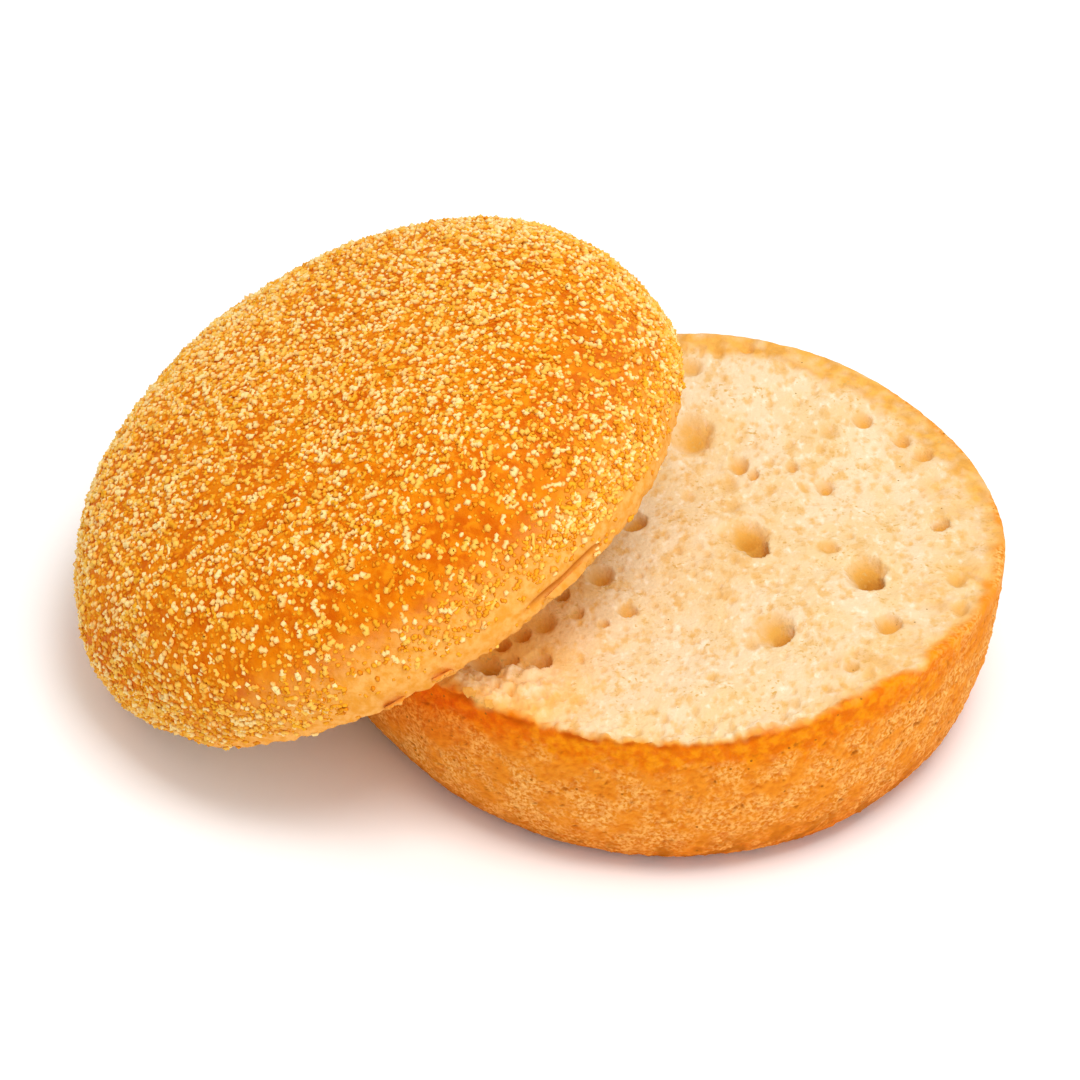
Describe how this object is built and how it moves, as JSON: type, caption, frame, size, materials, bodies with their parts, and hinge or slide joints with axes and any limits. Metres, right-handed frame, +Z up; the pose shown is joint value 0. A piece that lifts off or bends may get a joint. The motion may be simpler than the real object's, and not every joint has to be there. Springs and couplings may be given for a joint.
{
  "type": "brioche muffin",
  "caption": "Round soft bread muffin split across its middle, its semolina-dusted top half leaning on its base half, crumb showing.",
  "frame": {"origin": "centre of the split muffin's footprint, on the surface it rests on", "axes": "+X from the leaning top half to the base half, +Z up"},
  "size_m": [0.1292, 0.0972, 0.0607],
  "materials": {
    "base_crust": "matte baked bread crust, tan to golden brown, with a pale cream crumb on the cut face",
    "top_crust": "golden baked crust with a faint egg sheen, and a pale cream crumb on the cut face",
    "semolina": "coarse dry semolina grains, cream to toasted gold"
  },
  "bodies": {
    "root": {"bottom_half": "base_crust", "top_half": "top_crust"}
  },
  "joints": []
}
